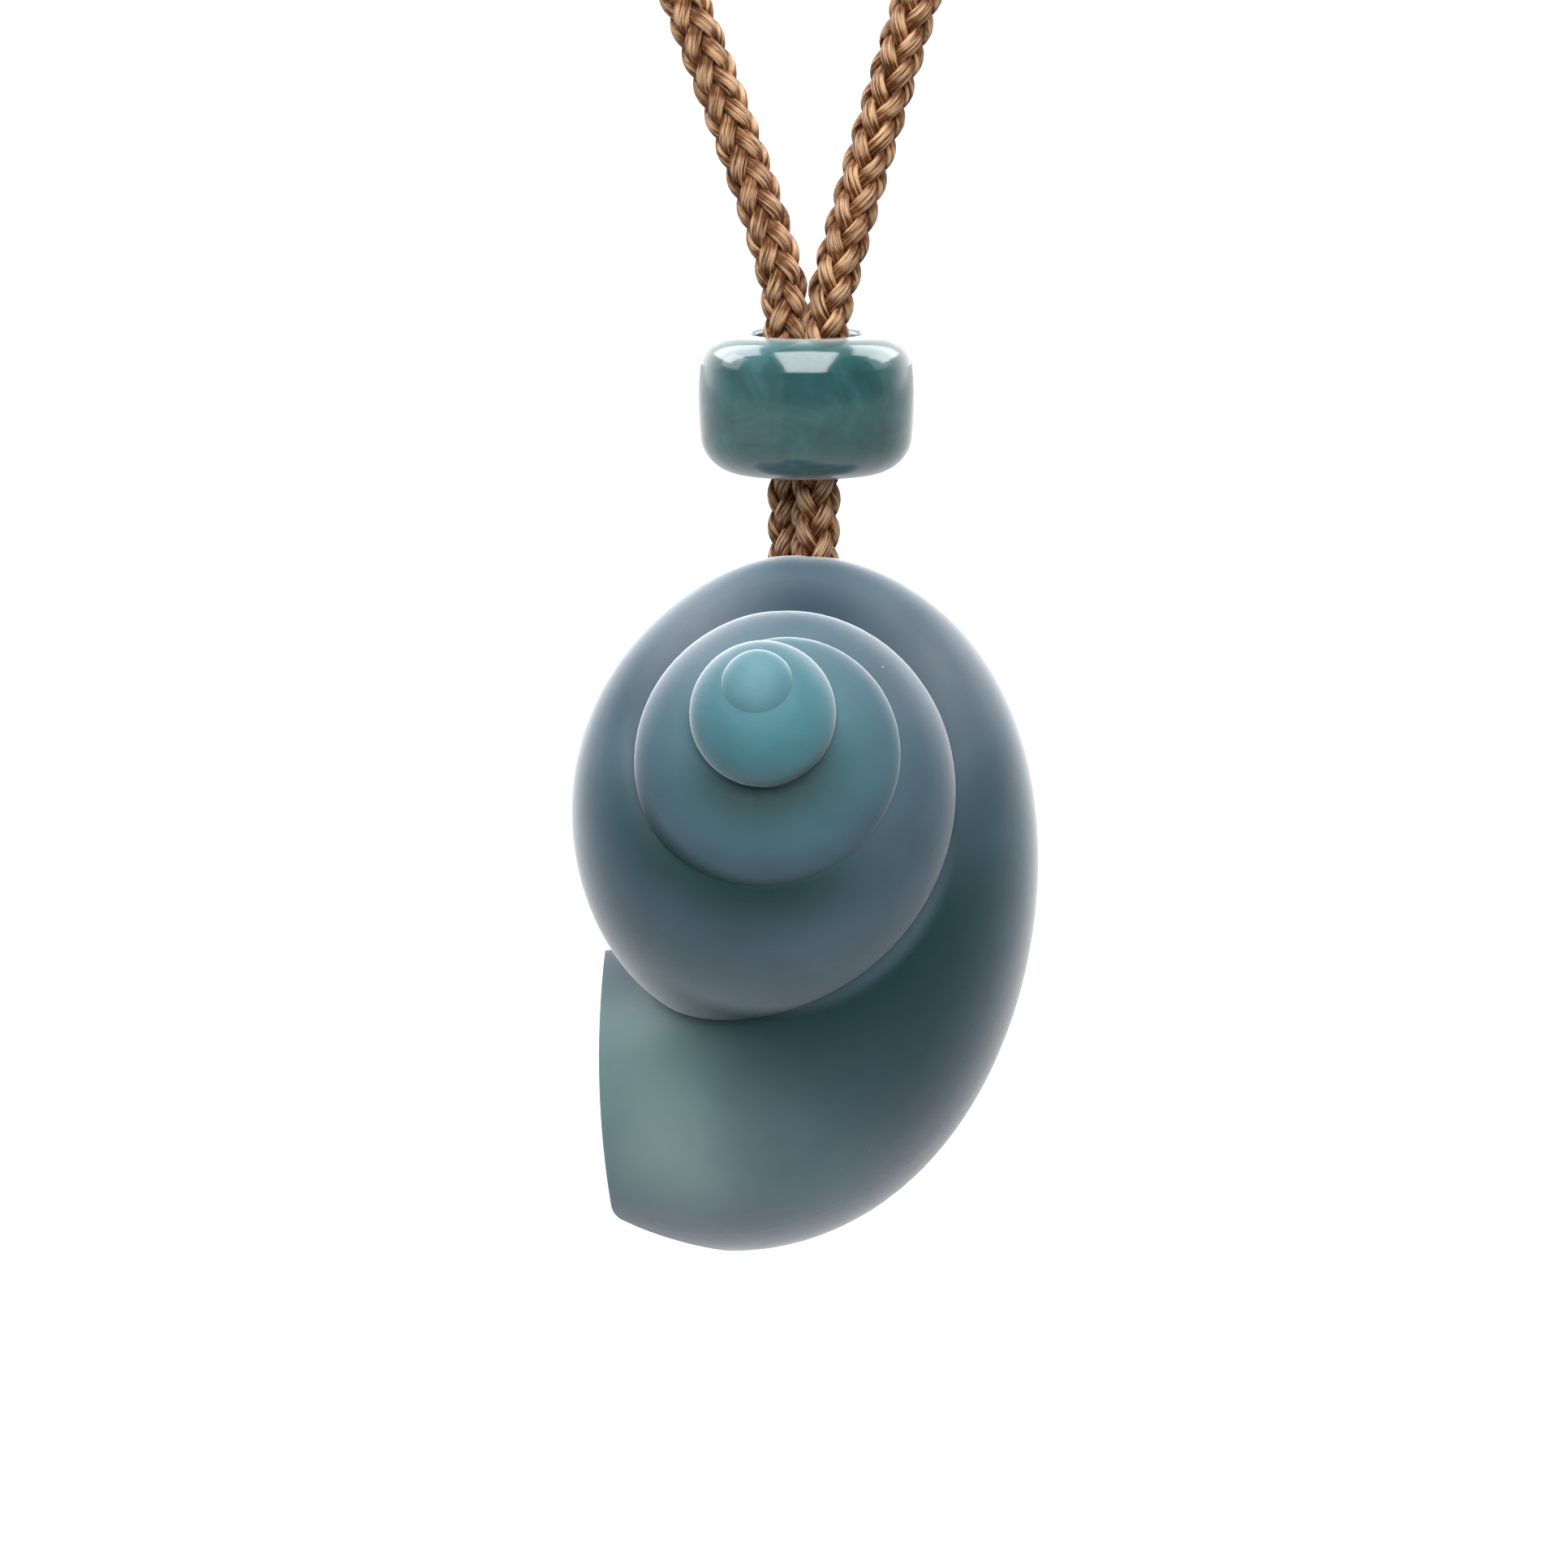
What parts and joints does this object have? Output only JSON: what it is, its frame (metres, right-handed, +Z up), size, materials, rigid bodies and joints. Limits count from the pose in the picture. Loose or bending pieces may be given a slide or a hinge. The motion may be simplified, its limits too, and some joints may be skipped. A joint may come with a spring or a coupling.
{
  "type": "shell pendant necklace",
  "caption": "Carved snail-shell pendant of blue-green stone under a polished rondelle bead, hung on a long braided cord loop.",
  "frame": {"origin": "underside of the cord at the top of the neck loop, where it lies on the nape", "axes": "+Z up; the loop, bead and shell hang down along -Z; +X to the right and -Y towards the viewer of the apex side, +Y to the shell's back"},
  "size_m": [0.1053, 0.0207, 0.2986],
  "materials": {
    "shell_stone": "satin, slightly translucent blue-green stone",
    "bead_stone": "polished dark blue-green stone",
    "cord_braid": "braided brown cord"
  },
  "bodies": {
    "pendant": {"shell": "shell_stone", "cord": "cord_braid", "stopper_knot": "cord_braid"},
    "bead": {"bead": "bead_stone"}
  },
  "joints": [
    {"name": "bead_slide", "type": "slide", "parent": "pendant", "child": "bead", "axis": [0, 0, -1], "range_m": [0, 0.003]}
  ]
}
